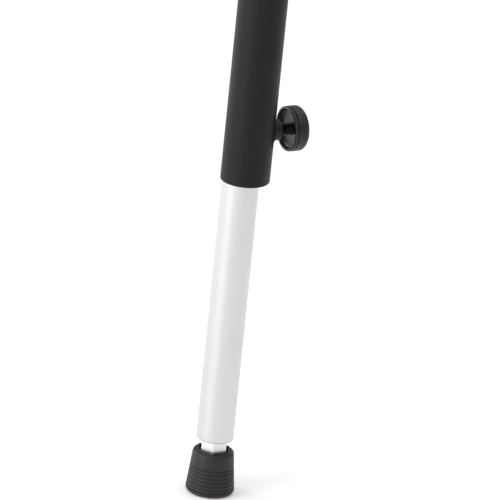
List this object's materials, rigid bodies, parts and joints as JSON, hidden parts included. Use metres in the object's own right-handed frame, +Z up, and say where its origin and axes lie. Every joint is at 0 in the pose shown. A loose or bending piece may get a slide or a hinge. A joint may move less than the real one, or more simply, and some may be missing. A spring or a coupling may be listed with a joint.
{
  "type": "telescopic stand leg",
  "caption": "Telescopic tubular stand leg with a side clamp knob, bright inner tube and screw-adjusted ribbed rubber foot; threaded top end.",
  "frame": {"origin": "centre of the rubber foot's sole, on the inner tube's axis", "axes": "+Z up the leg, +X from the tubes towards the clamp knob along the clamp screw"},
  "size_m": [0.0556, 0.0356, 0.5481],
  "materials": {
    "black_powder_coat": "satin powder coat on steel",
    "black_nylon": "moulded nylon",
    "zinc_steel": "bright zinc plate",
    "black_screws": "black oxide on steel",
    "natural_nylon": "natural nylon",
    "spring_steel": "plain spring steel",
    "black_knob_plastic": "moulded, satin, straight knurled rim",
    "black_cover_plastic": "moulded, semi-gloss",
    "satin_aluminium": "satin, drawn along the tube",
    "black_rubber": "moulded, matt, ring grooves"
  },
  "bodies": {
    "outer_leg": {"outer_tube": "black_powder_coat", "clamp_boss": "black_powder_coat", "boss_weld": "black_powder_coat", "top_plug": "black_nylon", "top_bush": "zinc_steel", "plug_screws": "black_screws"},
    "pad_assembly": {"pressure_pad": "natural_nylon", "snap_ring": "spring_steel"},
    "clamp_knob": {"clamp_screw": "black_screws", "knob": "black_knob_plastic", "knob_cover": "black_cover_plastic"},
    "inner_leg": {"inner_tube": "satin_aluminium", "inner_cap": "black_nylon", "end_plug": "black_nylon", "end_bush": "zinc_steel"},
    "foot_washer": {"stud_washer": "zinc_steel"},
    "levelling_foot": {"levelling_stud": "zinc_steel", "foot_plate": "zinc_steel", "foot_rubber": "black_rubber"}
  },
  "joints": [
    {"name": "pad_feed", "type": "slide", "parent": "outer_leg", "child": "pad_assembly", "axis": [1, 0, 0], "range_m": [0, 0.0025]},
    {"name": "knob_turn", "type": "hinge", "parent": "pad_assembly", "child": "clamp_knob", "pos_m": [0.00295, 0, 0.2474], "axis": [1, 0, 0], "range_deg": [0, 720]},
    {"name": "leg_extension", "type": "slide", "parent": "outer_leg", "child": "inner_leg", "axis": [0, 0, -1], "range_m": [-0.17, 0.055]},
    {"name": "foot_feed", "type": "slide", "parent": "inner_leg", "child": "foot_washer", "axis": [0, 0, -1], "range_m": [0, 0.009]},
    {"name": "foot_turn", "type": "hinge", "parent": "foot_washer", "child": "levelling_foot", "pos_m": [0, 0, 0], "axis": [0, 0, -1], "range_deg": [0, 2160]}
  ],
  "couplings": [
    {"joint": "knob_turn", "follows": "pad_feed", "rad_per_m": 5026.5},
    {"joint": "foot_turn", "follows": "foot_feed", "rad_per_m": 4188.8}
  ]
}
